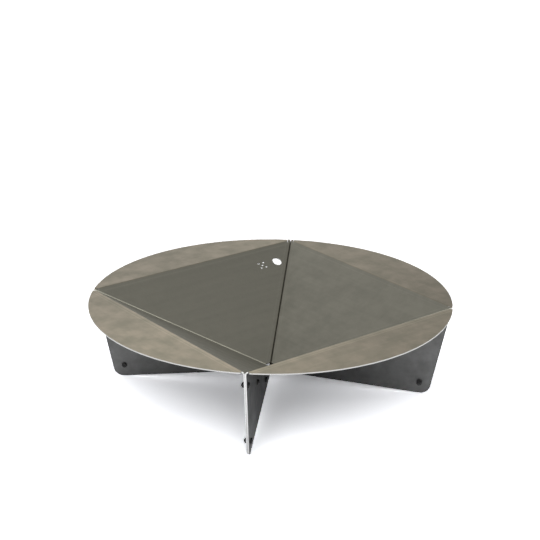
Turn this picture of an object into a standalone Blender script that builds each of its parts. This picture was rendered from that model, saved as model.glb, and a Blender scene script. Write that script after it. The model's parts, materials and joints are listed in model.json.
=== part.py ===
# Wood burning fire pit of four folded steel panels that bolt together.
#
# Each panel is one flat blank with three folds: a segment of the round rim, a triangular
# wall of the bowl and two flanges that hang straight down. Where two panels meet, their
# flanges stand face to face and make one of the four legs, held by four bolts.
# Metres, +Z up. The origin is on the floor under the middle of the bowl, and the legs lie
# on the X and Y axes: front is -Y, right is +X.

from math import asin, atan, atan2, cos, pi, radians, sin, tan

import bmesh
import bpy
from mathutils import Matrix, Vector

# Bowl and sheet
RIM_RADIUS = 0.450
BOWL_DEPTH = 0.185
SHEET = 0.003
BEND_RADIUS = 0.0055
FACE_GAP = 0.0003

# Flat metal left on each side of a wall's blunt tip, between its two bends
TIP_LAND = 0.0041

# Legs: the outer edge leans in from the rim, the lower edge rises to the centre
LEG_TOP_INSET = 0.0009
LEG_FOOT_INSET = 0.050
WEB_UNDER_BOWL = 0.008
LEG_ARCH = 0.042
FOOT_RADIUS = 0.025

# Relief slots that part the rim from the leg fold at each corner. The strip of wall between
# slot and fold runs on straight, so its square end stands a little over the rim.
FOLD_LAND = 0.0032
RELIEF_DEPTH = 0.006
RELIEF_WIDTH = 0.0016
RIM_END_FLARE = 0.0003
RIM_CORNER_RADIUS = 0.005

# Bolts through each leg: a row along the fold, and one in the foot
ROW_BOLTS = 3
ROW_DROP = 0.0285
ROW_START = 0.1094
ROW_EDGE_MARGIN = 0.020
FOOT_BOLT_INSET = 0.0297
BOLT_DIAMETER = 0.008
BOLT_PROJECTION = 0.0023
BOLT_TIP_CHAMFER = 0.0008
HEAD_DIAMETER = 0.014
HEAD_HEIGHT = 0.0044
HEAD_LAND = 0.0007
HEAD_RIM = 0.0006
SOCKET_ACROSS = 0.005
SOCKET_DEPTH = 0.0026
NUT_ACROSS = 0.013
NUT_HEIGHT = 0.0068
NUT_CHAMFER = radians(30)
BORE_CLEARANCE = 0.0003
SEAT_GAP = 0.0003

# Round hole and vents in the wall of one panel
HOLE_DIAMETER = 0.026
HOLE_FROM_RIM_FOLD = 0.059
HOLE_FROM_LEG_FOLD = 0.028
VENT_DIAMETER = 0.0055
VENT_SPREAD = 0.008
VENT_FROM_HOLE = 0.050

# How far a cutter runs past what it cuts
CUTTER_RUN = 0.006

# Facets of round shapes
RIM_STEPS = 22
FOOT_STEPS = 4
BEND_STEPS = 5
CORNER_STEPS = 3
BOLT_STEPS = 16
DOME_STEPS = 4
HOLE_STEPS = 24
VENT_STEPS = 12

# Derived places, in a panel's own frame: +Y outward through its middle, heights from the rim
HALF_CORNER = pi / 4
FOLD_REACH = RIM_RADIUS * cos(HALF_CORNER)
FOOT_REACH = RIM_RADIUS - LEG_FOOT_INSET
FOOT_DEPTH = BOWL_DEPTH + WEB_UNDER_BOWL + LEG_ARCH
TOP_REACH = RIM_RADIUS - LEG_TOP_INSET
EDGE_LEAN = (TOP_REACH - FOOT_REACH) / FOOT_DEPTH
BORE_DIAMETER = BOLT_DIAMETER + 2 * BORE_CLEARANCE
SEAT_REACH = FACE_GAP / 2 + SHEET + SEAT_GAP
LEG_OUT = Vector((sin(HALF_CORNER), cos(HALF_CORNER), 0))
LEG_IN = Vector((-cos(HALF_CORNER), sin(HALF_CORNER), 0))

PANELS = {
    "panel_front_left": radians(135),
    "panel_back_left": radians(45),
    "panel_back_right": radians(-45),
    "panel_front_right": radians(-135),
}
VENTED_PANEL = "panel_back_left"

# Each leg's direction. The bolts go in from the same side of every leg.
LEGS = {
    "front": radians(-90),
    "right": radians(0),
    "back": radians(90),
    "left": radians(180),
}
HEAD_SIDE = 1


def clear_scene():
    for item in list(bpy.data.objects):
        bpy.data.objects.remove(item, do_unlink=True)


def new_collection(name):
    collection = bpy.data.collections.new(name)
    bpy.context.scene.collection.children.link(collection)
    return collection


def new_material(name, color, roughness, metallic):
    material = bpy.data.materials.new(name)
    material.use_nodes = True
    shader = material.node_tree.nodes["Principled BSDF"]
    shader.inputs["Base Color"].default_value = (*color, 1)
    shader.inputs["Roughness"].default_value = roughness
    shader.inputs["Metallic"].default_value = metallic
    return material


def new_object(name, mesh, collection):
    item = bpy.data.objects.new(name, mesh)
    collection.objects.link(item)
    return item


def new_cutter(name, mesh):
    item = new_object(name, mesh, cutters)
    item.hide_render = True
    item.display_type = "WIRE"
    return item


def finished_mesh(item, name):
    """The mesh that an object's modifiers make, as a mesh of its own."""
    bpy.context.view_layer.update()
    graph = bpy.context.evaluated_depsgraph_get()
    mesh = bpy.data.meshes.new_from_object(item.evaluated_get(graph))
    mesh.name = name
    return mesh


def add_boolean(item, cutter, operation="DIFFERENCE"):
    cut = item.modifiers.new(operation.title(), "BOOLEAN")
    cut.operation = operation
    cut.solver = "EXACT"
    cut.object = cutter


# Outlines

def rounded_corner(before, corner, after, radius, steps, through=()):
    """An arc that rounds a corner, with points at each given direction from its centre."""
    to_before = (before - corner).normalized()
    to_after = (after - corner).normalized()
    half = to_before.angle(to_after) / 2
    centre = corner + (to_before + to_after).normalized() * radius / sin(half)
    start = corner + to_before * radius / tan(half) - centre
    end = corner + to_after * radius / tan(half) - centre
    first = atan2(start.y, start.x)
    turn = (atan2(end.y, end.x) - first + pi) % (2 * pi) - pi
    stops = [0.0]
    stops += [((angle - first + pi) % (2 * pi) - pi) / turn for angle in through]
    stops.append(1.0)
    shares = [a + (b - a) * i / steps for a, b in zip(stops, stops[1:]) for i in range(steps)]
    angles = [first + turn * share for share in shares + [1.0]]
    return centre, [centre + Vector((cos(a), sin(a))) * radius for a in angles]


def wall_height(y):
    """Height of the bowl's wall, from the rim, at a distance out from the centre."""
    return BOWL_DEPTH * (y / FOLD_REACH - 1)


def fold_height(reach):
    """Height of the leg's fold line at a distance along the leg."""
    return wall_height((reach + FACE_GAP / 2) * cos(HALF_CORNER))


def leg_point(reach, height):
    """A point on the face where the right-hand flange meets its neighbour."""
    return LEG_OUT * reach + LEG_IN * FACE_GAP / 2 + Vector((0, 0, height))


def fold_end():
    """Where the leg's fold line meets its outer edge: reach and height."""
    at_top = fold_height(TOP_REACH)
    rise = BOWL_DEPTH / RIM_RADIUS
    height = at_top / (1 - rise * EDGE_LEAN)
    return Vector((TOP_REACH + EDGE_LEAN * height, height))


def lower_edge(reach):
    """Height of the leg's lower edge, which rises from the foot to the centre."""
    return -(BOWL_DEPTH + WEB_UNDER_BOWL) - LEG_ARCH * reach / FOOT_REACH


def foot_round(radius=FOOT_RADIUS):
    """An arc in the foot's corner: its centre, and points from the outer edge to the lower one."""
    corner = Vector((FOOT_REACH, -FOOT_DEPTH))
    inner = Vector((tip_reach(), lower_edge(tip_reach())))
    return rounded_corner(fold_end(), corner, inner, radius, FOOT_STEPS, [-pi / 2])


def flange_outline():
    """The right-hand flange, from the fold's inner end down, along and up the leg."""
    centre, foot = foot_round()
    tip = tip_reach()
    inner = [(tip, fold_height(tip)), (tip, lower_edge(tip))]
    outline = inner + [tuple(point) for point in reversed(foot)] + [tuple(fold_end())]
    return [leg_point(reach, height) for reach, height in outline]


def rim_bend_angle():
    """Angle that the sheet turns through between the rim and the wall: the wall's slope."""
    return atan(BOWL_DEPTH / FOLD_REACH)


def wall_normal():
    slope = rim_bend_angle()
    return Vector((0, -sin(slope), cos(slope)))


def leg_bend_angle():
    """Angle that the sheet turns through between the wall and the flange."""
    return wall_normal().angle(-LEG_IN)


def fold_setback():
    """Distance from the leg fold's line to where its bend begins."""
    return BEND_RADIUS * tan(leg_bend_angle() / 2)


def fold_direction():
    """The way up the right-hand leg fold, from the centre out to the rim."""
    return (LEG_OUT + Vector((0, 0, BOWL_DEPTH / RIM_RADIUS))).normalized()


def level_width(distance):
    """Width of a strip of wall beside the leg's fold, measured level instead of square to it."""
    return distance / Vector((1, 0, 0)).cross(fold_direction()).length


def tip_reach():
    """Where the wall's blunt tip meets the leg's fold, just wide enough for both bends."""
    half_width = level_width(fold_setback()) + TIP_LAND
    return (half_width - LEG_IN.x * FACE_GAP / 2) / LEG_OUT.x


def strip_width():
    """Width of the strip of wall that stays on the leg's fold past the slot."""
    return fold_setback() + FOLD_LAND


def strip_end():
    """Corner of the strip's square end that is away from the fold."""
    across = wall_normal().cross(fold_direction())
    return leg_point(*fold_end()) + across * strip_width()


def on_rim_fold(distance):
    """The point of the rim's fold line at a distance from the leg's fold, along the wall."""
    corner = leg_point(RIM_RADIUS - FACE_GAP / 2, 0)
    return corner - Vector((level_width(distance), 0, 0))


def rim_fold_end():
    """Where the rim's fold stops, a slot's width short of the strip."""
    return on_rim_fold(strip_width() + RELIEF_WIDTH)


def wall_outline():
    """The right half of the wall, from its blunt tip to the rim's fold."""
    tip = leg_point(tip_reach(), fold_height(tip_reach()))
    middle_tip = Vector((0, tip.y, tip.z))
    slot = fold_direction() * RELIEF_DEPTH
    outer = [leg_point(*fold_end()), strip_end(), on_rim_fold(strip_width()) - slot]
    outer += [rim_fold_end() - slot, rim_fold_end()]
    return [middle_tip, tip] + outer + [Vector((0, FOLD_REACH, 0))]


def rim_outline():
    """The right half of the rim: its fold, the short end by the leg and the round edge."""
    end_offset = (FOLD_REACH - rim_fold_end().x) * sin(HALF_CORNER) + RIM_END_FLARE
    last = HALF_CORNER - asin(end_offset / RIM_RADIUS)
    angles = [last * (1 - i / RIM_STEPS) for i in range(RIM_STEPS + 1)]
    arc = [Vector((sin(a), cos(a))) * RIM_RADIUS for a in angles]
    fold = rim_fold_end().to_2d()
    centre, corner = rounded_corner(fold, arc[0], arc[1], RIM_CORNER_RADIUS, CORNER_STEPS)
    outline = [Vector((0, FOLD_REACH)), fold] + corner + arc[1:]
    return [point.to_3d() for point in outline]


# The folded panel

def half_panel_mesh():
    """Right half of a panel as a thin surface with sharp folds, seen as its outer face."""
    shape = bmesh.new()
    for outline in (rim_outline(), wall_outline(), flange_outline()):
        shape.faces.new([shape.verts.new(point) for point in outline])
    bmesh.ops.remove_doubles(shape, verts=shape.verts, dist=1e-6)
    weights = shape.edges.layers.float.new("bevel_weight_edge")
    rim_share = tan(rim_bend_angle() / 2) / tan(leg_bend_angle() / 2)
    for edge in shape.edges:
        if len(edge.link_faces) == 2:
            level = abs(edge.verts[0].co.z - edge.verts[1].co.z) < 1e-6
            edge[weights] = rim_share if level else 1.0
    mesh = bpy.data.meshes.new("half_panel")
    shape.to_mesh(mesh)
    shape.free()
    return mesh


def bolt_places():
    """Reach and height of the bolts in a leg: the row from the centre out, then the foot."""
    slope = atan2(BOWL_DEPTH, RIM_RADIUS)
    along = Vector((cos(slope), sin(slope)))
    down = Vector((sin(slope), -cos(slope)))
    base = Vector((0, -BOWL_DEPTH)) + down * ROW_DROP
    # The last bolt of the row keeps its margin to the leaning outer edge
    lean = along.x - EDGE_LEAN * along.y
    last = (TOP_REACH + EDGE_LEAN * base.y - ROW_EDGE_MARGIN - base.x) / lean
    pitch = (last - ROW_START) / (ROW_BOLTS - 1)
    row = [base + along * (ROW_START + pitch * i) for i in range(ROW_BOLTS)]
    # The foot's bolt keeps the same distance to the outer and the lower edge
    centre, arc = foot_round(FOOT_BOLT_INSET)
    return row + [centre]


def add_rod(shape, place, axis, diameter, steps):
    """A cylinder in a cutter's mesh, through the sheet at a place and along an axis."""
    turn = Vector((0, 0, 1)).rotation_difference(axis).to_matrix().to_4x4()
    bmesh.ops.create_cone(
        shape,
        cap_ends=True,
        segments=steps,
        radius1=diameter / 2,
        radius2=diameter / 2,
        depth=SHEET + 2 * CUTTER_RUN,
        matrix=Matrix.Translation(place) @ turn,
    )


def shape_mesh(shape, name):
    mesh = bpy.data.meshes.new(name)
    shape.to_mesh(mesh)
    shape.free()
    return mesh


def bolt_hole_mesh():
    """Cutters for the bolts' clearance holes in both flanges of a panel."""
    shape = bmesh.new()
    flip = Matrix.Diagonal((-1, 1, 1))
    for place in bolt_places():
        middle = leg_point(*place) + LEG_IN * SHEET / 2
        for side in (Matrix.Identity(3), flip):
            add_rod(shape, side @ middle, side @ LEG_IN, BORE_DIAMETER, BOLT_STEPS)
    return shape_mesh(shape, "bolt_holes")


def wall_point(from_rim_fold, from_leg_fold):
    """A point on the bowl's wall by its distances from the two folds beside it."""
    slope = rim_bend_angle()
    down = Vector((0, -cos(slope), -sin(slope)))
    sideways = fold_direction().cross(wall_normal())
    start = Vector((0, FOLD_REACH, 0)) + down * from_rim_fold
    # Slide along the wall, level with the rim's fold, until the leg's fold is near enough
    fold_distance = (leg_point(*fold_end()) - start).dot(sideways)
    return start + Vector(((fold_distance - from_leg_fold) / sideways.x, 0, 0))


def vent_mesh():
    """Cutters for the round hole and the group of five vents beside it."""
    shape = bmesh.new()
    slope = rim_bend_angle()
    uphill = Vector((0, cos(slope), sin(slope)))
    level = Vector((1, 0, 0))
    hole = wall_point(HOLE_FROM_RIM_FOLD, HOLE_FROM_LEG_FOLD)
    group = hole - level * VENT_FROM_HOLE
    add_rod(shape, hole, wall_normal(), HOLE_DIAMETER, HOLE_STEPS)
    for across, up in ((0, 0), (1, 1), (1, -1), (-1, 1), (-1, -1)):
        place = group + level * across * VENT_SPREAD + uphill * up * VENT_SPREAD
        add_rod(shape, place, wall_normal(), VENT_DIAMETER, VENT_STEPS)
    return shape_mesh(shape, "vents")


def add_panel(name, turn, surface, hole_mesh):
    """One folded panel: mirrored half, rounded folds, sheet thickness, then its holes."""
    panel = new_object(name, surface, pieces)
    panel.location.z = rim_height()
    panel.rotation_euler.z = turn
    mirror = panel.modifiers.new("Mirror", "MIRROR")
    mirror.merge_threshold = 1e-5
    bend = panel.modifiers.new("Bends", "BEVEL")
    bend.limit_method = "WEIGHT"
    bend.offset_type = "OFFSET"
    bend.width = fold_setback()
    bend.segments = BEND_STEPS
    bend.use_clamp_overlap = False
    sheet = panel.modifiers.new("Sheet", "SOLIDIFY")
    sheet.thickness = SHEET
    sheet.offset = -1
    sheet.use_even_offset = True
    sheet.use_quality_normals = True
    holes = new_cutter(name + "_bolt_holes", hole_mesh)
    holes.parent = panel
    add_boolean(panel, holes)
    if name == VENTED_PANEL:
        vents = new_cutter(name + "_vents", vent_mesh())
        vents.parent = panel
        add_boolean(panel, vents)
    return panel


def rim_height():
    """Height of the rim's top over the floor, which the feet's lowest points touch."""
    centre, foot = foot_round()
    return FOOT_RADIUS - centre.y


# Fasteners, made standing on their seat with +Z out of the leg

def turned_object(name, profile, steps):
    """A solid of revolution about Z from a profile that runs down its outer side."""
    mesh = bpy.data.meshes.new(name)
    edges = [(i, i + 1) for i in range(len(profile) - 1)]
    mesh.from_pydata([(x, 0, z) for x, z in profile], edges, [])
    item = new_object(name, mesh, cutters)
    screw = item.modifiers.new("Turn", "SCREW")
    screw.steps = steps
    screw.render_steps = steps
    screw.use_merge_vertices = True
    screw.merge_threshold = 1e-5
    screw.use_smooth_shade = False
    return item


def hexagon_mesh(name, across, low, high):
    shape = bmesh.new()
    radius = across / 2 / cos(pi / 6)
    bmesh.ops.create_cone(
        shape,
        cap_ends=True,
        segments=6,
        radius1=radius,
        radius2=radius,
        depth=high - low,
        matrix=Matrix.Translation((0, 0, (low + high) / 2)),
    )
    return shape_mesh(shape, name)


def bolt_mesh():
    """Button head bolt: domed head with a hexagon socket, plain shank, chamfered tip."""
    land = SOCKET_ACROSS / 2 / cos(pi / 6) + HEAD_LAND
    dome = []
    for i in range(DOME_STEPS + 1):
        angle = pi / 2 * i / DOME_STEPS
        across = land + (HEAD_DIAMETER / 2 - land) * sin(angle)
        dome.append((across, HEAD_RIM + (HEAD_HEIGHT - HEAD_RIM) * cos(angle)))
    shank = BOLT_DIAMETER / 2
    length = 2 * SEAT_REACH + NUT_HEIGHT + BOLT_PROJECTION
    profile = [(0, HEAD_HEIGHT)] + dome + [(HEAD_DIAMETER / 2, 0), (shank, 0)]
    profile += [(shank, BOLT_TIP_CHAMFER - length)]
    profile += [(shank - BOLT_TIP_CHAMFER, -length), (0, -length)]
    blank = turned_object("bolt_blank", profile, BOLT_STEPS)
    floor = HEAD_HEIGHT - SOCKET_DEPTH
    opening = HEAD_HEIGHT + CUTTER_RUN
    socket = new_cutter("socket", hexagon_mesh("socket", SOCKET_ACROSS, floor, opening))
    add_boolean(blank, socket)
    mesh = finished_mesh(blank, "bolt")
    bpy.data.objects.remove(blank)
    bpy.data.objects.remove(socket)
    return mesh


def nut_mesh():
    """Hexagon nut with both faces chamfered, and a bore that clears the shank."""
    corner = NUT_ACROSS / 2 / cos(pi / 6)
    flat = NUT_ACROSS / 2
    reach = corner + SEAT_GAP
    fall = (reach - flat) * tan(NUT_CHAMFER)
    profile = [(0, NUT_HEIGHT), (flat, NUT_HEIGHT), (reach, NUT_HEIGHT - fall)]
    profile += [(reach, fall), (flat, 0), (0, 0)]
    barrel = turned_object("barrel", profile, BOLT_STEPS)
    barrel.hide_render = True
    top = NUT_HEIGHT + CUTTER_RUN
    bore_profile = [(0, top), (BORE_DIAMETER / 2, top)]
    bore_profile += [(BORE_DIAMETER / 2, -CUTTER_RUN), (0, -CUTTER_RUN)]
    bore = turned_object("bore", bore_profile, BOLT_STEPS)
    blank = new_object("nut_blank", hexagon_mesh("nut_blank", NUT_ACROSS, 0, NUT_HEIGHT), cutters)
    add_boolean(blank, barrel, "INTERSECT")
    add_boolean(blank, bore)
    mesh = finished_mesh(blank, "nut")
    for item in (blank, barrel, bore):
        bpy.data.objects.remove(item)
    return mesh


def add_fasteners(leg, turn, bolt, nut):
    """The bolts and nuts of one leg, seated on the outer faces of its two flanges."""
    out = Matrix.Rotation(turn, 4, "Z")
    for number, place in enumerate(bolt_places(), start=1):
        for kind, mesh, side in (("bolt", bolt, HEAD_SIDE), ("nut", nut, -HEAD_SIDE)):
            item = new_object("leg_%s_%s_%d" % (leg, kind, number), mesh, pieces)
            item.location = out @ Vector((place.x, side * SEAT_REACH, place.y + rim_height()))
            item.rotation_euler = (radians(-90 * side), 0, turn)


clear_scene()
pieces = new_collection("fire_pit")
cutters = new_collection("cutters")
steel = new_material("raw_steel", (0.19, 0.18, 0.155), 0.42, 1.0)
black = new_material("black_fastener", (0.02, 0.02, 0.02), 0.4, 0.8)

surface = half_panel_mesh()
surface.materials.append(steel)
holes = bolt_hole_mesh()
for panel_name, panel_turn in PANELS.items():
    add_panel(panel_name, panel_turn, surface, holes)

bolt = bolt_mesh()
bolt.materials.append(black)
nut = nut_mesh()
nut.materials.append(black)
for leg_name, leg_turn in LEGS.items():
    add_fasteners(leg_name, leg_turn, bolt, nut)
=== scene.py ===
# %% [markdown]
# # A fire pit of four folded steel panels
#
# The real pit starts as flat sheet. Four equal blanks are cut by laser and folded three times
# each, which gives a segment of the round rim, a sloping wall of the bowl and two flanges that
# hang straight down. Bolted back to back, the flanges of neighbours become the four legs.
#
# The CAD model already holds the true sizes, so this lesson only dresses it: finer sheet metal
# with soft bends and pressed fold marks, real screws and nuts, and the look of raw steel. The
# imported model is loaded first, because every piece below takes its place from it.

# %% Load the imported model
import json
from math import asin, atan, atan2, cos, pi, radians, sin, tan

import bmesh
import bpy
from mathutils import Matrix, Vector

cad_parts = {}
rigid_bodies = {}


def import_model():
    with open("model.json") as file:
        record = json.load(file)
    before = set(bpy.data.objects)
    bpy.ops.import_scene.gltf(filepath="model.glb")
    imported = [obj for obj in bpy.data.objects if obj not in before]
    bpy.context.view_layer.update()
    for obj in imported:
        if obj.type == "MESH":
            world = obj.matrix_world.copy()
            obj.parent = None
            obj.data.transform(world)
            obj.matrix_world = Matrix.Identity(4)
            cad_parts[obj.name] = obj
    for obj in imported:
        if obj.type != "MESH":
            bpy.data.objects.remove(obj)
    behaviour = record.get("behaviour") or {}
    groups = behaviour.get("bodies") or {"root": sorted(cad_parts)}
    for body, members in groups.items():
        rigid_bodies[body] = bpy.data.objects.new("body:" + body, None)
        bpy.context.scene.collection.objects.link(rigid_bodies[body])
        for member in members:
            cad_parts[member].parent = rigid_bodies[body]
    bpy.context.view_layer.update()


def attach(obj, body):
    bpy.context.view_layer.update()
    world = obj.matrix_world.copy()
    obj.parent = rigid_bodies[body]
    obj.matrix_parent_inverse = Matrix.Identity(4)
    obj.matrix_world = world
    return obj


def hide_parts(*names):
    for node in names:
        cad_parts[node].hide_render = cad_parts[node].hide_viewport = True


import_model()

# %% [markdown]
# ## The camera
#
# A product picture like this one is taken from a few metres away with a long lens, which keeps
# the round rim a calm ellipse. The camera could be placed by eye, but an orbit round the centre
# of the rim is easier to reason about: a distance, a height angle and a turn. The lens then
# points a little above that centre, so that the pit sits low in the frame, and a third of a
# degree of roll is what a tripod levelled by hand leaves.

# %% Place the camera
CAMERA_DISTANCE = 3.458
CAMERA_ELEVATION = radians(21.46)
CAMERA_TURN = radians(7.08)
CAMERA_ROLL = radians(0.323)
CAMERA_LENS = 92.71
SENSOR_WIDTH = 36
AIM_FROM_RIM_CENTRE = Vector((-0.0017, 0, 0.0750))
RIM_HEIGHT = 0.232778


def in_scene(name, data):
    """A new object for some data, in the picture."""
    item = bpy.data.objects.new(name, data)
    bpy.context.scene.collection.objects.link(item)
    return item


rim_centre = Vector((0, 0, RIM_HEIGHT))
level = cos(CAMERA_ELEVATION)
orbit = Vector((sin(CAMERA_TURN) * level, -cos(CAMERA_TURN) * level, sin(CAMERA_ELEVATION)))
camera = in_scene("camera", bpy.data.cameras.new("camera"))
camera.data.lens = CAMERA_LENS
camera.data.sensor_width = SENSOR_WIDTH
camera.location = rim_centre + orbit * CAMERA_DISTANCE
sight = rim_centre + AIM_FROM_RIM_CENTRE - camera.location
turned = sight.to_track_quat("-Z", "Y").to_matrix() @ Matrix.Rotation(CAMERA_ROLL, 3, "Z")
camera.rotation_euler = turned.to_euler()
bpy.context.scene.camera = camera
bpy.context.scene.view_settings.view_transform = "Standard"
print("camera at", [round(v, 3) for v in camera.location])

# %% [markdown]
# ## Helpers for node trees
#
# Shader groups and Geometry Nodes trees are built the same way: make the tree, name its
# sockets, add nodes, link them. A few small helpers keep the cells that follow short. `add`
# makes a node, sets it and links or fills its inputs, and `result` also returns its first
# output, which is nearly always the one that is wanted.

# %% Small helpers for every node tree
def new_tree(name, kind, inputs, outputs):
    """A node group with named sockets: the tree, what it is given and what it has to make."""
    tree = bpy.data.node_groups.new(name, kind)
    for label, socket_type, value in inputs:
        socket = tree.interface.new_socket(label, in_out="INPUT", socket_type=socket_type)
        if value is not None:
            socket.default_value = value
    for label, socket_type in outputs:
        tree.interface.new_socket(label, in_out="OUTPUT", socket_type=socket_type)
    return tree, tree.nodes.new("NodeGroupInput").outputs, tree.nodes.new("NodeGroupOutput").inputs


def is_input(key):
    """Inputs start with a capital or are i and a number. Settings are in small letters."""
    return key[0].isupper() or key[1:].isdigit()


def wire(tree, node, **inputs):
    """Fill a node's inputs: a socket is linked, anything else is set as its value."""
    for key, value in inputs.items():
        label = int(key[1:]) if key[1:].isdigit() else key.replace("_", " ")
        if isinstance(value, bpy.types.NodeSocket):
            tree.links.new(value, node.inputs[label])
        else:
            node.inputs[label].default_value = value
    return node


def add(tree, kind, **values):
    """Add a node with its settings, which can change its sockets, and then fill its inputs."""
    node = tree.nodes.new(kind)
    for key, value in values.items():
        if not is_input(key):
            setattr(node, key, value)
    return wire(tree, node, **{key: value for key, value in values.items() if is_input(key)})


def result(tree, kind, **values):
    return add(tree, kind, **values).outputs[0]


def hand_out(tree, made, *results):
    """Link results to what a tree has to make, in their order."""
    for socket, value in zip(made, results):
        tree.links.new(value, socket)
    return tree


# %% [markdown]
# ## One word for each sum
#
# A material is mostly arithmetic: subtract one value from another, map one span onto another,
# mix two colours. Each of these is a single node. If each also has one short function that adds
# it, wires it and returns its result, a material can be read from top to bottom like a recipe.

# %% Sums, mixes and textures
def numbered(values):
    return {"i%d" % i: value for i, value in enumerate(values)}


def calc(tree, operation, *values):
    """The result of one Math node."""
    return result(tree, "ShaderNodeMath", operation=operation, **numbered(values))


def vector_calc(tree, operation, *values):
    """The result of one Vector Math node, a plain value for a length or a dot product."""
    node = add(tree, "ShaderNodeVectorMath", operation=operation, **numbered(values))
    return node.outputs["Value" if operation in ("LENGTH", "DOT_PRODUCT") else "Vector"]


def mapped(tree, value, smooth=False, **span):
    """A value mapped from one span to another, where each is 0 to 1 unless it is given."""
    kind = "SMOOTHSTEP" if smooth else "LINEAR"
    return result(tree, "ShaderNodeMapRange", interpolation_type=kind, Value=value, **span)


def mixed(tree, share, first, second, **settings):
    """A mix of two colours."""
    colours = {"i6": first, "i7": second}
    return add(tree, "ShaderNodeMix", data_type="RGBA", **settings, i0=share, **colours).outputs[2]


def scaled(tree, tone, factor):
    """A colour times one factor."""
    return result(tree, "ShaderNodeVectorMath", operation="SCALE", i0=tone, Scale=factor)


def parts_of(tree, vector):
    """The X, Y and Z of a vector."""
    return add(tree, "ShaderNodeSeparateXYZ", Vector=vector).outputs


def noise(tree, where, scale, detail, roughness=0.5):
    """Noise at a place: the larger the scale, the finer it is."""
    kind = {"Scale": scale, "Detail": detail, "Roughness": roughness}
    return result(tree, "ShaderNodeTexNoise", Vector=where, **kind)


def relief(tree, strength, depth, height):
    """The normals of a relief, from heights of 0 to 1 and the depth that 1 stands for."""
    return result(tree, "ShaderNodeBump", Strength=strength, Distance=depth, Height=height)


# %% [markdown]
# ## What raw steel looks like
#
# Hot rolled sheet keeps a thin mill scale. It isn't one grey: faint clouds a few centimetres
# across, long streaks in the rolling direction, and a fine tooth that spreads every reflection.
# A photograph of steel would tile, so the pattern is made of noise instead, in one group that
# both steel finishes share. It reads each panel's own sheet coordinates, so the streaks turn
# with the panel and no cloud runs on from one panel to the next.

# %% The mill scale group
def mill_scale_group():
    inputs = [
        ("Place", "NodeSocketVector", None),
        ("Cloud Size", "NodeSocketFloat", 0.05),
        ("Streak Width", "NodeSocketFloat", 0.012),
        ("Streak Length", "NodeSocketFloat", 0.35),
        ("Tooth Size", "NodeSocketFloat", 0.0016),
    ]
    outputs = [(label, "NodeSocketFloat") for label in ("Cloud", "Streak", "Tooth")]
    tree, given, made = new_tree("Mill Scale", "ShaderNodeTree", inputs, outputs)
    place = given["Place"]

    def frequency(label):
        return calc(tree, "DIVIDE", 1.0, given[label])

    def banded(low, *where, **kind):
        """Noise whose middle band, from low to as far from the top, is spread over 0 to 1."""
        return mapped(tree, noise(tree, *where, **kind), From_Min=low, From_Max=1 - low)

    across = frequency("Streak Width")
    stretch = result(tree, "ShaderNodeCombineXYZ", X=frequency("Streak Length"), Y=across, Z=across)
    drawn = vector_calc(tree, "MULTIPLY", place, stretch)
    cloud = banded(0.36, place, frequency("Cloud Size"), detail=4.0, roughness=0.62)
    streak = banded(0.34, drawn, 1.0, detail=3.0)
    tooth = banded(0.3, place, frequency("Tooth Size"), detail=2.0, roughness=0.6)
    return hand_out(tree, made, cloud, streak, tooth)


mill_scale = mill_scale_group()
print("mill scale group with", len(mill_scale.nodes), "nodes")

# %% [markdown]
# ## The finishes
#
# The panels show three finishes. The upper side of the sheet is the inside of the bowl and the
# top of the rim. The lower side is a plain colder grey, and the laser leaves a bare edge all
# round. Screws and nuts are black oxide. Every finish is a Principled shader with constant
# values set on the shader itself, and only what changes over the surface comes from nodes.
#
# Grain and wear belong to the sheet, so they could be painted on an unfolded map. It is simpler
# that each panel carries its own place as an attribute, from before it is turned to its corner:
# X along the rim's fold, Y away from the pit's axis, and Z up from the rim.

# %% A new finish, and what it reads from a panel
def new_finish(name, roughness, metallic):
    material = bpy.data.materials.new(name)
    material.use_nodes = True
    tree = material.node_tree
    shader = tree.nodes["Principled BSDF"]
    shader.inputs["Roughness"].default_value = roughness
    shader.inputs["Metallic"].default_value = metallic
    return material, tree, shader


def carried(tree, name):
    """A vector that each panel carries as an attribute."""
    return add(tree, "ShaderNodeAttribute", attribute_name=name).outputs["Vector"]


def grain_place(tree):
    """Sheet coordinates, moved far enough for each panel to get clouds of its own."""
    return vector_calc(tree, "ADD", carried(tree, "sheet_place"), carried(tree, "sheet_offset"))


def from_axis(tree):
    """Level distance from the pit's axis."""
    level_place = vector_calc(tree, "MULTIPLY", carried(tree, "sheet_place"), (1, 1, 0))
    return vector_calc(tree, "LENGTH", level_place)


# %% [markdown]
# ## Painted light and wear of the upper side
#
# The rim is painted lighter and warmer than the wall, as light falls on it, and a little
# different along every panel, as a painted reflection. Beside its fold the sheet slid over the
# shoulders of the die, which rubbed light lines in the scale, and right at the fold a painted
# highlight of the bend is added; the wall has two fainter rubbed lines. The valleys between the
# walls get painted shade. One more group makes all this from the height and the distances to
# the folds. How strong it is, each panel says for itself in an attribute.

# %% The rim light and marks group
# Distance from the pit's axis to the rim's fold
RIM_FOLD = 0.318
# Heights between which the wall's tone turns into the rim's
RIM_FROM = -0.0012
RIM_FULLY = -0.0001
# Places along the fold where the rim's two end tones, a painted reflection, are reached
TONE_START = -0.05
TONE_END = 0.30
# Distances from the rim's fold, and how light the rim is there: rubbed lines from the die, and next
# to the fold a painted highlight of the bend
RUBS_AND_HIGHLIGHT_WIDTH = 0.024
RUBS_AND_HIGHLIGHT_LINES = [
    (0.0015, 0.6),
    (0.0055, 1.0),
    (0.0085, 0.0),
    (0.0108, 0.1),
    (0.0130, 1.0),
    (0.0155, 0.0),
]
# Lines on the wall: their places beside both folds, half their width and their strength
DIE_LINE_FROM_RIM = -0.0098
DIE_LINE_FROM_LEG = 0.0150
DIE_LINE_HALF = 0.0022
DIE_LINE = 0.09
# Painted shade in the valleys: the tone that it leaves, and where it starts to thin and ends
VALLEY_SHADE = 0.12
VALLEY_SHADE_THINS = 0.0003
VALLEY_SHADE_ENDS = 0.0014


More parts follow.
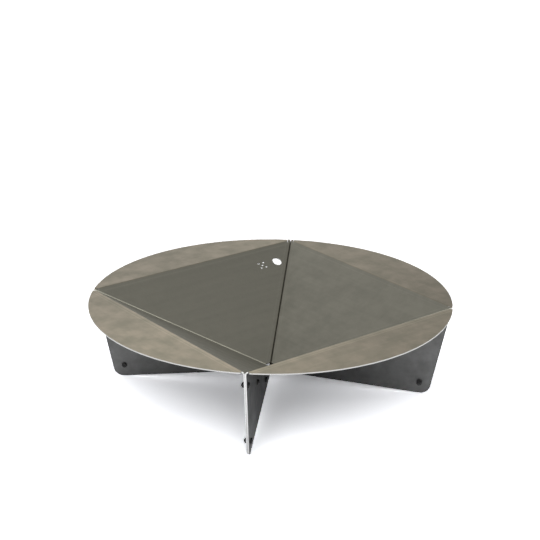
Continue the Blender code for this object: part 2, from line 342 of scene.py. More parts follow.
def rubs_and_highlight_ramp(tree, share):
    """A colour ramp that holds the rubbed lines and the bend's painted highlight, read at a share of
    their width.
    """
    lines = add(tree, "ShaderNodeValToRGB", Fac=share)
    ramp = lines.color_ramp
    ramp.elements.remove(ramp.elements[1])
    for at, value in RUBS_AND_HIGHLIGHT_LINES:
        ramp.elements.new(at / RUBS_AND_HIGHLIGHT_WIDTH).color = (value, value, value, 1)
    ramp.elements.remove(ramp.elements[0])
    return lines.outputs["Color"]


def die_line(tree, distance, middle):
    off = calc(tree, "ABSOLUTE", calc(tree, "SUBTRACT", distance, middle))
    return mapped(tree, off, smooth=True, From_Max=DIE_LINE_HALF, To_Min=DIE_LINE, To_Max=0.0)


def rim_light_and_marks_group():
    """How far a point is rim, the rim's painted reflection and rubs there, and painted valley shade and
    die lines.
    """
    inputs = [(label, "NodeSocketVector", None) for label in ("Place", "Wear")]
    outputs = [(label, "NodeSocketFloat") for label in ("Rim", "Tone", "Clean")]
    tree, given, made = new_tree("Rim Wear", "ShaderNodeTree", inputs, outputs)
    x, y, z = parts_of(tree, given["Place"])
    start_tone, end_tone, rubs_and_highlight_strength = parts_of(tree, given["Wear"])
    rim = mapped(tree, z, smooth=True, From_Min=RIM_FROM, From_Max=RIM_FULLY)
    # The rim's tone from one end to the other is a painted reflection
    ends = {"From_Min": TONE_START, "From_Max": TONE_END, "To_Min": start_tone, "To_Max": end_tone}
    from_rim_fold = calc(tree, "SUBTRACT", y, RIM_FOLD)
    lines = rubs_and_highlight_ramp(tree, mapped(tree, from_rim_fold, From_Max=RUBS_AND_HIGHLIGHT_WIDTH))
    rubbed_and_lit = calc(tree, "MULTIPLY_ADD", lines, rubs_and_highlight_strength, 1.0)
    tone = calc(tree, "MULTIPLY", mapped(tree, x, **ends), rubbed_and_lit)
    from_leg_fold = calc(tree, "SUBTRACT", y, calc(tree, "ABSOLUTE", x))
    beside_rim = die_line(tree, from_rim_fold, DIE_LINE_FROM_RIM)
    beside_leg = die_line(tree, from_leg_fold, DIE_LINE_FROM_LEG)
    # Painted shade deep in the valleys beside the leg's fold
    valley_shade = mapped(tree, from_leg_fold, From_Min=VALLEY_SHADE_THINS, From_Max=VALLEY_SHADE_ENDS, To_Min=VALLEY_SHADE)
    shade_and_die_lines = calc(tree, "ADD", valley_shade, calc(tree, "MAXIMUM", beside_rim, beside_leg))
    return hand_out(tree, made, rim, tone, shade_and_die_lines)


rim_light_and_marks = rim_light_and_marks_group()
print("rim light and marks group with", len(rim_light_and_marks.nodes), "nodes")

# %% [markdown]
# ## Both sides of the sheet
#
# Upper and lower side share the mill scale and differ in tone and in what is painted on them.
# The upper side takes the painted light and wear above. The lower side gets painted shade, darkest
# close to the pit's axis, right under the bowl, and least at the feet. Both could be one material
# with a mask, but two plain ones are easier to change.

# %% Steel with mill scale
STEEL_METALLIC = 0.9
STREAK_SHARE = 0.35
GLOSS_SWING = 0.05
TOOTH_STRENGTH = 0.25
TOOTH_HEIGHT = 0.00004
# Painted light that makes the rim lighter and warmer than the wall, over its dark and its light clouds
RIM_LIT_COOL = (1.12, 1.055, 0.945, 1)
RIM_LIT_WARM = (1.19, 1.055, 0.945, 1)
# Painted shade under the bowl: the distances from the axis that it spans, and the tone at each
UNDER_SHADE_FROM = 0.12
UNDER_SHADE_TO = 0.40
UNDER_SHADE_TONE = 0.36
UNDER_OUTER_TONE = 1.03


def upper_light_and_wear(tree, tone, cloud):
    """A tone with painted light on the rim, rubbed and die lines, and painted shade in the valleys."""
    read = {"Place": carried(tree, "sheet_place"), "Wear": carried(tree, "sheet_wear")}
    rim, rim_reflection_and_rubs, shade_and_die_lines = add(tree, "ShaderNodeGroup", node_tree=rim_light_and_marks, **read).outputs
    lit_rim_colour = scaled(tree, mixed(tree, cloud, RIM_LIT_COOL, RIM_LIT_WARM), rim_reflection_and_rubs)
    return scaled(tree, mixed(tree, rim, tone, lit_rim_colour, blend_type="MULTIPLY"), shade_and_die_lines)


# Painted shade under the bowl, darkest close to the pit's axis
def shaded_under_bowl(tree, tone):
    span = {"From_Min": UNDER_SHADE_FROM, "From_Max": UNDER_SHADE_TO, "To_Min": UNDER_SHADE_TONE, "To_Max": UNDER_OUTER_TONE}
    return scaled(tree, tone, mapped(tree, from_axis(tree), **span))


def steel_finish(name, dark, light, roughness, upper_side):
    """Steel with mill scale: clouds and streaks in its tone, tooth in its relief."""
    material, tree, shader = new_finish(name, roughness, STEEL_METALLIC)
    scale = add(tree, "ShaderNodeGroup", node_tree=mill_scale, Place=grain_place(tree))
    cloud, streak, tooth = scale.outputs
    blend = result(tree, "ShaderNodeMix", data_type="FLOAT", i0=STREAK_SHARE, i2=cloud, i3=streak)
    tone = mixed(tree, blend, dark, light)
    colour = upper_light_and_wear(tree, tone, cloud) if upper_side else shaded_under_bowl(tree, tone)
    gloss = mapped(tree, cloud, To_Min=roughness + GLOSS_SWING, To_Max=roughness - GLOSS_SWING)
    normal = relief(tree, TOOTH_STRENGTH, TOOTH_HEIGHT, tooth)
    wire(tree, shader, Base_Color=colour, Roughness=gloss, Normal=normal)
    return material


# %% The upper and the lower side
UPPER_DARK = (0.238, 0.231, 0.192, 1)
UPPER_LIGHT = (0.286, 0.276, 0.228, 1)
UPPER_ROUGHNESS = 0.42
UNDER_DARK = (0.080, 0.080, 0.078, 1)
UNDER_LIGHT = (0.104, 0.104, 0.102, 1)
UNDER_ROUGHNESS = 0.45
UNDER_GRAZING = (0.55, 0.55, 0.55, 1)

upper_steel = steel_finish("upper_steel", UPPER_DARK, UPPER_LIGHT, UPPER_ROUGHNESS, upper_side=True)
under_steel = steel_finish("under_steel", UNDER_DARK, UNDER_LIGHT, UNDER_ROUGHNESS, upper_side=False)
under_steel.node_tree.nodes["Principled BSDF"].inputs["Specular Tint"].default_value = UNDER_GRAZING
print("steel finishes:", upper_steel.name, "and", under_steel.name)

# %% [markdown]
# ## Cut edges and black screws
#
# A laser leaves bare bright metal with fine lines across the sheet's thickness. Close to the
# pit's axis that edge is painted dark, as shade at the bottom of the bowl, and it is made darker
# from the rim down to the foot.
# Black oxide hides most of the screws' metal and only breaks up its tone in small specks.

# %% The cut edge
EDGE_ROUGHNESS = 0.38
EDGE_DARK = (0.47, 0.47, 0.46, 1)
EDGE_LIGHT = (0.61, 0.61, 0.60, 1)
CUT_LINES = 900.0
CUT_LINE_STRENGTH = 0.3
CUT_LINE_HEIGHT = 0.00003
# Painted shade on the cut edges at the drain, at the bottom of the bowl
DRAIN_SHADE = (0.06, 0.05, 0.035, 1)
# Distances from the axis between which the edge's painted shade at the drain fades out
DRAIN_SHADE_TO = 0.014
DRAIN_SHADE_GONE = 0.022
# Heights under the rim between which the edge gets darker towards the foot, and the tone at the foot
EDGE_TOP = -0.003
EDGE_FOOT = -0.23
EDGE_FOOT_TONE = 0.6


def cut_edge_finish():
    material, tree, shader = new_finish("cut_edge", EDGE_ROUGHNESS, 1.0)
    place = carried(tree, "sheet_place")
    lines = noise(tree, place, CUT_LINES, detail=2.0)
    # Painted shade on the edge close to the drain
    past_drain_shade = mapped(tree, from_axis(tree), From_Min=DRAIN_SHADE_TO, From_Max=DRAIN_SHADE_GONE)
    tone = mixed(tree, past_drain_shade, DRAIN_SHADE, mixed(tree, lines, EDGE_DARK, EDGE_LIGHT))
    height = parts_of(tree, place)["Z"]
    darker_to_foot = mapped(tree, height, From_Min=EDGE_FOOT, From_Max=EDGE_TOP, To_Min=EDGE_FOOT_TONE)
    normal = relief(tree, CUT_LINE_STRENGTH, CUT_LINE_HEIGHT, lines)
    wire(tree, shader, Base_Color=scaled(tree, tone, darker_to_foot), Normal=normal)
    return material


cut_edge = cut_edge_finish()
print("cut edge with", len(cut_edge.node_tree.nodes), "nodes")

# %% Black oxide
OXIDE_ROUGHNESS = 0.38
OXIDE_METALLIC = 0.85
OXIDE_DARK = (0.012, 0.012, 0.012, 1)
OXIDE_LIGHT = (0.035, 0.035, 0.034, 1)
OXIDE_SPECKS = 700.0


def black_oxide_finish():
    material, tree, shader = new_finish("black_oxide", OXIDE_ROUGHNESS, OXIDE_METALLIC)
    place = add(tree, "ShaderNodeTexCoord").outputs["Object"]
    specks = noise(tree, place, OXIDE_SPECKS, detail=3.0)
    wire(tree, shader, Base_Color=mixed(tree, specks, OXIDE_DARK, OXIDE_LIGHT))
    return material


black_oxide = black_oxide_finish()
print("finishes:", [m.name for m in (upper_steel, under_steel, cut_edge, black_oxide)])

# %% [markdown]
# ## The blank and its folds
#
# A folded panel could be modelled as a solid and then rounded, but the way a sheet metal worker
# thinks is simpler: draw the flats where they end up, join them at sharp fold lines, and let the
# tools do the rest. Mirror makes the other half, Bevel on the fold lines alone makes the bends,
# and Solidify gives the sheet its thickness. The panel is drawn in its own frame, with +Y out
# through its middle and heights measured down from the rim.

# %% Sizes of the blank
RIM_RADIUS = 0.450
BOWL_DEPTH = 0.185
SHEET = 0.003
FACE_GAP = 0.0003
BEND_RADIUS = 0.0055
TIP_LAND = 0.0041
LEG_TOP_REACH = 0.4491
LEG_FOOT_REACH = 0.400
LEG_INNER_DEPTH = 0.193
LEG_ARCH = 0.042
FOOT_RADIUS = 0.025
FOLD_LAND = 0.0032
RELIEF_DEPTH = 0.006
RELIEF_WIDTH = 0.0016
RIM_END_FLARE = 0.0003
RIM_CORNER_RADIUS = 0.005
# The finer round edge stays this much inside the CAD's faceted one
INSIDE_CAD = 0.00007
# Straight steps along the rim's arc, round its corners and round the feet
RIM_STEPS = 64
RIM_CORNER_STEPS = 6
FOOT_STEPS = 24
# Points closer than this are one point
NEAR = 1e-6

chord = RIM_RADIUS * cos(pi / 4)
wall_slope = atan(BOWL_DEPTH / chord)
wall_normal = Vector((0, -sin(wall_slope), cos(wall_slope)))
down_wall = Vector((0, -cos(wall_slope), -sin(wall_slope)))
leg_out = Vector((sin(pi / 4), cos(pi / 4), 0))
leg_in = Vector((-cos(pi / 4), sin(pi / 4), 0))
up_fold = (leg_out + Vector((0, 0, BOWL_DEPTH / RIM_RADIUS))).normalized()
from_leg_fold = -up_fold.cross(wall_normal)
leg_bend = wall_normal.angle(-leg_in)
setback = BEND_RADIUS * tan(leg_bend / 2)
print("wall slope %.1f deg, leg bend %.1f deg" % (wall_slope * 180 / pi, leg_bend * 180 / pi))


# %% Outlines of the rim, the wall and the flange
def on_leg(reach, height):
    """A point on the face of the right-hand flange that meets its neighbour."""
    return leg_out * reach + leg_in * FACE_GAP / 2 + Vector((0, 0, height))


def fold_height(reach):
    return BOWL_DEPTH * ((reach + FACE_GAP / 2) / RIM_RADIUS - 1)


def lower_edge(reach):
    return -LEG_INNER_DEPTH - LEG_ARCH * reach / LEG_FOOT_REACH


def level_width(distance):
    """Level width of a strip of wall beside the leg's fold."""
    return distance / Vector((1, 0, 0)).cross(up_fold).length


def rounded(before, corner, after, radius, steps):
    """The centre and the points of an arc that rounds a corner."""
    to_before = (before - corner).normalized()
    to_after = (after - corner).normalized()
    half = to_before.angle(to_after) / 2
    centre = corner + (to_before + to_after).normalized() * radius / sin(half)
    start = corner + to_before * radius / tan(half) - centre
    end = corner + to_after * radius / tan(half) - centre
    first = atan2(start.y, start.x)
    turn = (atan2(end.y, end.x) - first + pi) % (2 * pi) - pi
    angles = [first + turn * i / steps for i in range(steps + 1)]
    return centre, [centre + Vector((cos(a), sin(a))) * radius for a in angles]


foot_corner = Vector((LEG_FOOT_REACH, lower_edge(LEG_FOOT_REACH)))
edge_lean = (LEG_TOP_REACH - foot_corner.x) / -foot_corner.y
end_height = fold_height(LEG_TOP_REACH) / (1 - BOWL_DEPTH / RIM_RADIUS * edge_lean)
fold_end = Vector((LEG_TOP_REACH + edge_lean * end_height, end_height))
tip_reach = (level_width(setback) + TIP_LAND - leg_in.x * FACE_GAP / 2) / leg_out.x
strip_width = setback + FOLD_LAND
strip_end = on_leg(*fold_end) + from_leg_fold * strip_width
leg_foot = (fold_end, foot_corner, Vector((tip_reach, lower_edge(tip_reach))))
foot_centre, foot_arc = rounded(*leg_foot, FOOT_RADIUS, FOOT_STEPS)


def on_rim_fold(distance):
    """The point of the rim's fold line at a distance from the leg's fold, along the wall."""
    return on_leg(RIM_RADIUS - FACE_GAP / 2, 0) - Vector((level_width(distance), 0, 0))


rim_fold_end = on_rim_fold(strip_width + RELIEF_WIDTH)


def flange_outline():
    corners = [(tip_reach, fold_height(tip_reach)), (tip_reach, lower_edge(tip_reach))]
    corners += [tuple(point) for point in reversed(foot_arc)] + [tuple(fold_end)]
    return [on_leg(reach, height) for reach, height in corners]


def wall_outline():
    tip = on_leg(tip_reach, fold_height(tip_reach))
    slot = up_fold * RELIEF_DEPTH
    outer = [on_leg(*fold_end), strip_end, on_rim_fold(strip_width) - slot]
    outer += [rim_fold_end - slot, rim_fold_end]
    return [Vector((0, tip.y, tip.z)), tip] + outer + [Vector((0, chord, 0))]


def rim_outline():
    end_offset = (chord - rim_fold_end.x) * sin(pi / 4) + RIM_END_FLARE
    last = pi / 4 - asin(end_offset / RIM_RADIUS)
    angles = [last * (1 - i / RIM_STEPS) for i in range(RIM_STEPS + 1)]
    arc = [Vector((sin(a), cos(a))) * (RIM_RADIUS - INSIDE_CAD) for a in angles]
    fold = rim_fold_end.to_2d()
    corner = rounded(fold, arc[0], arc[1], RIM_CORNER_RADIUS, RIM_CORNER_STEPS)[1]
    outline = [Vector((0, chord)), fold] + corner + arc[1:]
    return [point.to_3d() for point in outline]


foot_depth = FOOT_RADIUS - foot_centre.y
print("feet reach %.4f m under the rim, which the CAD has at %.4f m" % (foot_depth, RIM_HEIGHT))

# %% [markdown]
# ## Marks of the press brake
#
# When a sheet is folded over a V die, the die's two shoulders leave a faint witness line on each
# side of the bend, and light catches them long before the eye can tell why. They could be
# painted, but they are dents, so they are pressed in: each line is five cuts across a flat, with
# the middle ones pushed down by less than a tenth of a millimetre, in the shape of a soft groove.

# %% Press a line into a flat
RIM, WALL, FLANGE = range(3)
MARK_WIDTH = 0.0036
MARK_DEPTH = 0.00009
MARK_FROM_FOLD = 0.0125
# Places of the five cuts, as shares of half the width, and the share inside which points sink
MARK_CUTS = (-1, -0.5, 0, 0.5, 1)
MARK_INSIDE = 0.9


def press_line(shape, flat, start, away, normal):
    """A shallow groove across one flat, parallel to the fold that starts at a point."""
    flat_of = shape.faces.layers.int["flat"]
    for share in MARK_CUTS:
        faces = [f for f in shape.faces if f[flat_of] == flat]
        edges = [e for e in shape.edges if any(f[flat_of] == flat for f in e.link_faces)]
        verts = [v for v in shape.verts if any(f[flat_of] == flat for f in v.link_faces)]
        place = start + away * (MARK_FROM_FOLD + share * MARK_WIDTH / 2)
        whole = verts + edges + faces
        bmesh.ops.bisect_plane(shape, geom=whole, dist=NEAR, plane_co=place, plane_no=away)
    for vert in shape.verts:
        share = abs((vert.co - start).dot(away) - MARK_FROM_FOLD) / (MARK_WIDTH / 2)
        if share < MARK_INSIDE and {f[flat_of] for f in vert.link_faces} == {flat}:
            vert.co -= normal * MARK_DEPTH * (1 + cos(pi * share)) / 2


# %% [markdown]
# ## Half a blank
#
# A panel is the same left and right of its middle, so only its right half is drawn. The three
# flats are joined where they share a fold line, and each fold line gets a bevel weight. The
# rim's fold turns less than the leg's, so it needs a narrower bevel for the same bend radius.

# %% Join the flats into half a blank
SHEET_FINISHES = (upper_steel, cut_edge, under_steel)


def mesh_of(shape, name):
    """A mesh of a shape that was drawn with bmesh."""
    mesh = bpy.data.meshes.new(name)
    shape.to_mesh(mesh)
    shape.free()
    return mesh


def half_blank():
    shape = bmesh.new()
    flat_of = shape.faces.layers.int.new("flat")
    outlines = {RIM: rim_outline(), WALL: wall_outline(), FLANGE: flange_outline()}
    for flat, outline in outlines.items():
        face = shape.faces.new([shape.verts.new(point) for point in outline])
        face[flat_of] = flat
    bmesh.ops.remove_doubles(shape, verts=shape.verts, dist=NEAR)
    weights = shape.edges.layers.float.new("bevel_weight_edge")
    rim_share = tan(wall_slope / 2) / tan(leg_bend / 2)
    for edge in shape.edges:
        if len(edge.link_faces) == 2:
            level = abs(edge.verts[0].co.z - edge.verts[1].co.z) < NEAR
            edge[weights] = rim_share if level else 1.0
    fold_start = Vector((0, chord, 0))
    press_line(shape, RIM, fold_start, Vector((0, 1, 0)), Vector((0, 0, 1)))
    press_line(shape, WALL, fold_start, down_wall, wall_normal)
    press_line(shape, WALL, on_leg(*fold_end), from_leg_fold, wall_normal)
    return mesh_of(shape, "half_blank")


blank = half_blank()
for finish in SHEET_FINISHES:
    blank.materials.append(finish)
print("half a blank:", len(blank.polygons), "flats and strips")

# %% [markdown]
# ## Punches
#
# Bolt holes, vents and the round hole are all the same job: a round tool goes through the sheet
# at some places, square to it. Copying cylinders by hand would do, but a Geometry Nodes tree
# that puts one cylinder on every point says it once. Each point carries the direction of its
# tool. The result is a cutter for a Boolean, and its material is the bright cut edge, which the
# Boolean hands on to the walls of the holes.

# %% The punch tree
def new_geometry_tree(name, **inputs):
    """A tree that takes geometry, named inputs and a finish, and has to make geometry."""
    kinds = {"Geometry": "Geometry", **inputs, "Finish": "Material"}
    sockets = [(key.replace("_", " "), "NodeSocket" + kind, None) for key, kind in kinds.items()]
    return new_tree(name, "GeometryNodeTree", sockets, [("Geometry", "NodeSocketGeometry")])


def hand_out_coated(tree, given, made, geometry):
    """Make instances real, give all the tree's finish and hand it out."""
    real = result(tree, "GeometryNodeRealizeInstances", Geometry=geometry)
    coat = result(tree, "GeometryNodeSetMaterial", Geometry=real, Material=given["Finish"])
    return hand_out(tree, made, coat)


def punch_tree():
    tree, given, made = new_geometry_tree("Punches", Across="Float", Length="Float", Sides="Int")
    tool = {"Radius": calc(tree, "DIVIDE", given["Across"], 2.0), "Depth": given["Length"]}
    rod = result(tree, "GeometryNodeMeshCylinder", Vertices=given["Sides"], **tool)
    axis = result(tree, "GeometryNodeInputNamedAttribute", data_type="FLOAT_VECTOR", Name="axis")
    aim = result(tree, "FunctionNodeAlignRotationToVector", axis="Z", Vector=axis)
    aimed = {"Points": given["Geometry"], "Instance": rod, "Rotation": aim}
    return hand_out_coated(tree, given, made, result(tree, "GeometryNodeInstanceOnPoints", **aimed))


def add_tree(item, tree, **values):
    """A Geometry Nodes modifier with its inputs set by their sockets' identifiers."""
    modifier = item.modifiers.new(tree.name, "NODES")
    modifier.node_group = tree
    for socket in tree.interface.items_tree:
        label = socket.name.replace(" ", "_")
        if socket.in_out == "INPUT" and label in values:
            modifier[socket.identifier] = values[label]


punches = punch_tree()
print("punch tree with", len(punches.nodes), "nodes")

# %% [markdown]
# ## Where the holes are
#
# Three bolts follow the leg's fold at a steady distance under it, and the fourth keeps the same
# distance to both edges of the foot. One panel also has a round hole high in its wall, perhaps
# to lift the pit by, with a small group of vents beside it.

# %% Bolt places and hole places
BOLT_DIAMETER = 0.008
BORE_CLEARANCE = 0.0003
ROW_BOLTS = 3
ROW_DROP = 0.0285
ROW_START = 0.1094
ROW_EDGE_MARGIN = 0.020
FOOT_BOLT_INSET = 0.0297
HOLE_DIAMETER = 0.026
HOLE_FROM_RIM_FOLD = 0.059
HOLE_FROM_LEG_FOLD = 0.028
VENT_DIAMETER = 0.0055
VENT_SPREAD = 0.008
VENT_FROM_HOLE = 0.050

fold_slope = atan2(BOWL_DEPTH, RIM_RADIUS)
along_fold = Vector((cos(fold_slope), sin(fold_slope)))
under_fold = Vector((sin(fold_slope), -cos(fold_slope)))
row_base = Vector((0, -BOWL_DEPTH)) + under_fold * ROW_DROP
edge_room = LEG_TOP_REACH + edge_lean * row_base.y - ROW_EDGE_MARGIN - row_base.x
row_end = edge_room / (along_fold.x - edge_lean * along_fold.y)
bolt_row = (row_base + along_fold * ROW_START, row_base + along_fold * row_end)
foot_bolt = rounded(*leg_foot, FOOT_BOLT_INSET, 1)[0]
row_places = [bolt_row[0].lerp(bolt_row[1], i / (ROW_BOLTS - 1)) for i in range(ROW_BOLTS)]
bolt_places = row_places + [foot_bolt]

hole_line = Vector((0, chord, 0)) + down_wall * HOLE_FROM_RIM_FOLD
fold_distance = (hole_line - on_leg(*fold_end)).dot(from_leg_fold)
hole_place = hole_line + Vector(((HOLE_FROM_LEG_FOLD - fold_distance) / from_leg_fold.x, 0, 0))
vent_centre = hole_place - Vector((VENT_FROM_HOLE, 0, 0))
quincunx = [(0, 0), (1, 1), (1, -1), (-1, 1), (-1, -1)]
vent_places = [vent_centre + (Vector((x, 0, 0)) - down_wall * y) * VENT_SPREAD for x, y in quincunx]
print("bolts at", [(round(p.x, 4), round(p.y, 4)) for p in bolt_places])

# %% [markdown]
# ## Cutters
#
# Tools and unfinished pieces live in a workshop collection, which is cleared away before the
# picture. A piece leaves it as a plain mesh, with all that its modifiers did applied.

# %% Cutters made by the punch tree
PUNCH_LENGTH = 0.015
BOLT_HOLE_SIDES = 28
ROUND_HOLE_SIDES = 64
VENT_SIDES = 20

workshop = bpy.data.collections.new("workshop")
bpy.context.scene.collection.children.link(workshop)


def in_workshop(name, mesh):
    item = bpy.data.objects.new(name, mesh)
    workshop.objects.link(item)
    return item


def finished_mesh(item, name):
    """A plain mesh with all that an object's modifiers did. The object itself is used up."""
    bpy.context.view_layer.update()
    graph = bpy.context.evaluated_depsgraph_get()
    mesh = bpy.data.meshes.new_from_object(item.evaluated_get(graph))
    mesh.name = name
    bpy.data.objects.remove(item)
    return mesh


def punch(name, places, axes, across, sides):
    """A cutter: one round tool at each place, along each axis."""
    mesh = bpy.data.meshes.new(name)
    mesh.from_pydata(places, [], [])
    axis = mesh.attributes.new("axis", "FLOAT_VECTOR", "POINT")
    axis.data.foreach_set("vector", [value for direction in axes for value in direction])
    item = in_workshop(name, mesh)
    add_tree(item, punches, Across=across, Length=PUNCH_LENGTH, Sides=sides, Finish=cut_edge)
    cutter = in_workshop(name + "_cutter", finished_mesh(item, name + "_cutter"))
    cutter.hide_render = True
    return cutter


flip = Matrix.Diagonal((-1, 1, 1))
right_places = [on_leg(*place) + leg_in * SHEET / 2 for place in bolt_places]
both_places = right_places + [flip @ place for place in right_places]
both_axes = [leg_in] * len(right_places) + [flip @ leg_in] * len(right_places)
bolt_bore = BOLT_DIAMETER + 2 * BORE_CLEARANCE
bolt_punch = punch("bolt_punch", both_places, both_axes, bolt_bore, BOLT_HOLE_SIDES)
hole_punch = punch("hole_punch", [hole_place], [wall_normal], HOLE_DIAMETER, ROUND_HOLE_SIDES)
vent_axes = [wall_normal] * len(vent_places)
vent_punch = punch("vent_punch", vent_places, vent_axes, VENT_DIAMETER, VENT_SIDES)
print("punches:", [(c.name, len(c.data.polygons)) for c in (bolt_punch, hole_punch, vent_punch)])

# %% [markdown]
# ## Fold and punch a panel
#
# The order of the modifiers is the order of the workshop, except that the sheet gets its
# thickness late: mirror, bend, thicken, punch, and take the sharpness off every cut edge. The
# upper side keeps the first finish, and Solidify gives the lower side and the border their own.

# %% From half a blank to a folded panel
BEND_STEPS = 12
EDGE_ROUND = 0.00022
EDGE_STEPS = 2
# An edge that turns more than this is a cut edge, and not a step of a bend
CUT_EDGE_FROM = radians(60)
# Halves and turned outlines are joined where their points are this close
MERGED = 1e-5


def cut_with(item, cutter):
    cut = item.modifiers.new(cutter.name, "BOOLEAN")
    cut.operation = "DIFFERENCE"
    cut.solver = "EXACT"
    cut.material_mode = "TRANSFER"
    cut.object = cutter


def fold_panel(name, cutters):
    """One panel in its own frame, from half a blank to a finished mesh."""
    item = in_workshop(name + "_blank", blank)
    mirror = item.modifiers.new("other half", "MIRROR")
    mirror.merge_threshold = MERGED
    bend = item.modifiers.new("bends", "BEVEL")
    bend.limit_method = "WEIGHT"
    bend.offset_type = "OFFSET"
    bend.width = setback
    bend.segments = BEND_STEPS
    bend.use_clamp_overlap = False
    sheet = item.modifiers.new("sheet", "SOLIDIFY")
    sheet.thickness = SHEET
    sheet.offset = -1
    sheet.use_even_offset = True
    sheet.use_quality_normals = True
    sheet.material_offset = SHEET_FINISHES.index(under_steel)
    sheet.material_offset_rim = SHEET_FINISHES.index(cut_edge)
    for cutter in cutters:
        cut_with(item, cutter)
    soften = item.modifiers.new("soft edges", "BEVEL")
    soften.limit_method = "ANGLE"
    soften.angle_limit = CUT_EDGE_FROM
    soften.width = EDGE_ROUND
    soften.segments = EDGE_STEPS
    soften.use_clamp_overlap = False
    return finished_mesh(item, name + "_mesh")


# %% [markdown]
# ## Four panels in their places
#
# Weighted normals keep the flats truly flat beside the round bends. Each mesh is turned to its
# corner only now, and its untouched sheet coordinates and its painted light and rubs stay with it.
# Then the piece is told which body it rides on and which CAD node it stands for.

# %% Shade a mesh, store vectors in it and dress it as a piece
SMOOTH_UNDER = radians(40)
FLATS_FIRST = 100


def shade(mesh, name):
    """Smooth shading whose normals follow the large flats."""
    mesh.shade_smooth()
    mesh.set_sharp_from_angle(angle=SMOOTH_UNDER)
    item = in_workshop(name + "_shading", mesh)
    weigh = item.modifiers.new("flats first", "WEIGHTED_NORMAL")
    weigh.keep_sharp = True
    weigh.weight = FLATS_FIRST
    return finished_mesh(item, name)


def carry(mesh, name, vectors):
    """Store one vector for every vertex."""
    layer = mesh.attributes.new(name, "FLOAT_VECTOR", "POINT")
    layer.data.foreach_set("vector", [value for vector in vectors for value in vector])


def dress(name, mesh, nodes):
    """Put a finished mesh in the scene as a piece that stands for CAD nodes."""
    piece = in_scene(name, mesh)
    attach(piece, "root")
    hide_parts(*nodes)
    return piece


# %% The four panels
# Turn of each panel, and its painted light and rubs: tone at both ends of its rim, which is a painted
# reflection, and strength of the rubbed lines with the bend's painted highlight
PANELS = {
    "panel_front_left": (radians(135), (1.24, 0.93, 0.22)),
    "panel_back_left": (radians(45), (0.90, 1.07, 0.05)),
    "panel_back_right": (radians(-45), (0.94, 0.76, 0.06)),
    "panel_front_right": (radians(-135), (0.97, 1.26, 0.26)),
}
HOLE_PANEL = "panel_back_left"
# Each panel reads the grain this much further along and across than the one before
NEXT_GRAIN = Vector((3.0, 1.7, 0))

for number, (panel, (turn, light_and_rubs)) in enumerate(PANELS.items()):
    cutters = [bolt_punch, hole_punch, vent_punch] if panel == HOLE_PANEL else [bolt_punch]
    folded = fold_panel(panel, cutters)
    carry(folded, "sheet_place", [vertex.co for vertex in folded.vertices])
    carry(folded, "sheet_offset", [NEXT_GRAIN * number] * len(folded.vertices))
    # Each panel's rim tones, a painted reflection, and the strength of its rubbed lines and painted fold
    # highlight
    carry(folded, "sheet_wear", [light_and_rubs] * len(folded.vertices))
    folded.transform(Matrix.Translation((0, 0, RIM_HEIGHT)) @ Matrix.Rotation(turn, 4, "Z"))
    piece = dress("folded_" + panel, shade(folded, "folded_" + panel), [panel])
    print(piece.name, len(piece.data.polygons), "faces", [m.name for m in piece.data.materials])

# %% [markdown]
# ## Button head screws
#
# A button head screw is a turned part: draw half its outline and let Screw spin it. The hexagon
# socket is cut with a six-sided prism. It could be pressed in as a dent, but a cut keeps the
# six walls sharp, as a broached socket has them.

# %% Sizes of the fasteners
HEAD_DIAMETER = 0.014
HEAD_HEIGHT = 0.0044
HEAD_RIM = 0.0006
HEAD_LAND = 0.0007
SOCKET_ACROSS = 0.005
SOCKET_DEPTH = 0.0026
NUT_ACROSS = 0.013
NUT_HEIGHT = 0.0068
SEAT_GAP = 0.0003
BOLT_PROJECTION = 0.0023
THREAD_PITCH = 0.00125
THREAD_DEPTH = 0.00062
THREAD_TURNS = 6

seat = FACE_GAP / 2 + SHEET + SEAT_GAP
shank_length = 2 * seat + NUT_HEIGHT + BOLT_PROJECTION
print("shank length %.1f mm" % (shank_length * 1000))


# %% Turned parts and hexagonal prisms
def turned_mesh(name, outline, steps, cutter=None):
    """Spin an outline that runs down its outer side, and cut it if a cutter is given."""
    mesh = bpy.data.meshes.new(name)
    mesh.from_pydata([(x, 0, z) for x, z in outline], [(i, i + 1) for i in range(len(outline) - 1)], [])
    mesh.materials.append(black_oxide)
    item = in_workshop(name, mesh)
    spin = item.modifiers.new("spin", "SCREW")
    spin.steps = steps
    spin.render_steps = steps
    spin.use_merge_vertices = True
    spin.merge_threshold = MERGED
    if cutter:
        cut_with(item, cutter)
    return finished_mesh(item, name)


def prism(name, across, low, high):
    """A hexagonal prism between two heights."""
    shape = bmesh.new()
    radius = across / 2 / cos(pi / 6)
    middle = Matrix.Translation((0, 0, (low + high) / 2))
    bmesh.ops.create_cone(
        shape, cap_ends=True, segments=6, radius1=radius, radius2=radius, depth=high - low, matrix=middle
    )
    mesh = mesh_of(shape, name)
    mesh.materials.append(black_oxide)
    return in_workshop(name, mesh)


# %% The screw's blank
DOME_STEPS = 8
SCREW_STEPS = 40
HEAD_CHAMFER = 0.0002
TIP_CHAMFER = 0.0003


